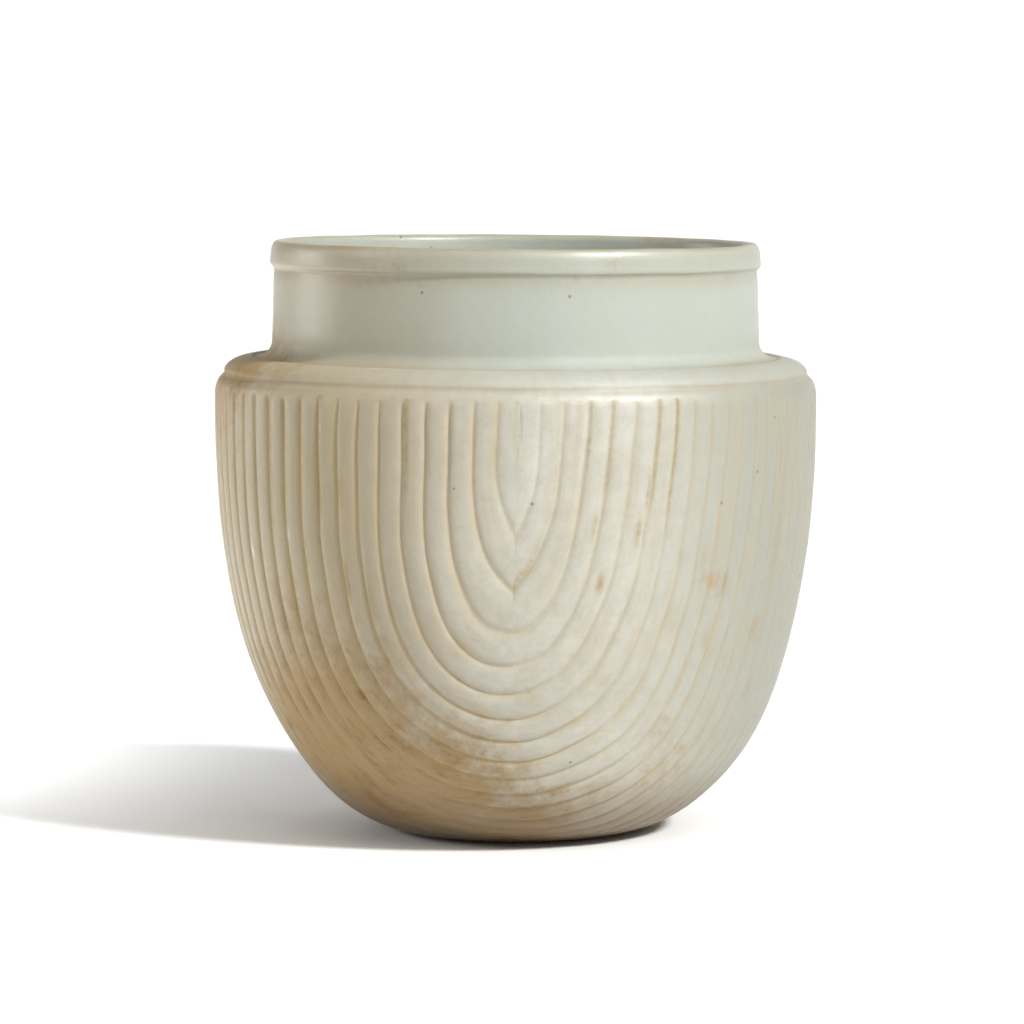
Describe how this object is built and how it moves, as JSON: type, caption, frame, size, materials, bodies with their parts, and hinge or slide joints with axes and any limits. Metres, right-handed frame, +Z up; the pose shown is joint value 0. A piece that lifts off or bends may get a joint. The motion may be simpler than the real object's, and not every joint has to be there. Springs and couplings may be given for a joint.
{
  "type": "marble cup",
  "caption": "Open marble cup with a flat base, a rounded body of nested arched flutes, a rolled shoulder, a straight neck and a projecting lip; hollow inside.",
  "frame": {"origin": "middle of the flat underside, on the surface that the cup stands on", "axes": "+Z up along the cup's axis; -Y faces the front, where the arched flutes come to a point; +X to the right seen from the front"},
  "size_m": [0.1022, 0.1022, 0.1003],
  "materials": {
    "marble": "worn polish, slightly translucent, ochre stains in the grooves"
  },
  "bodies": {
    "root": {"cup": "marble"}
  },
  "joints": []
}
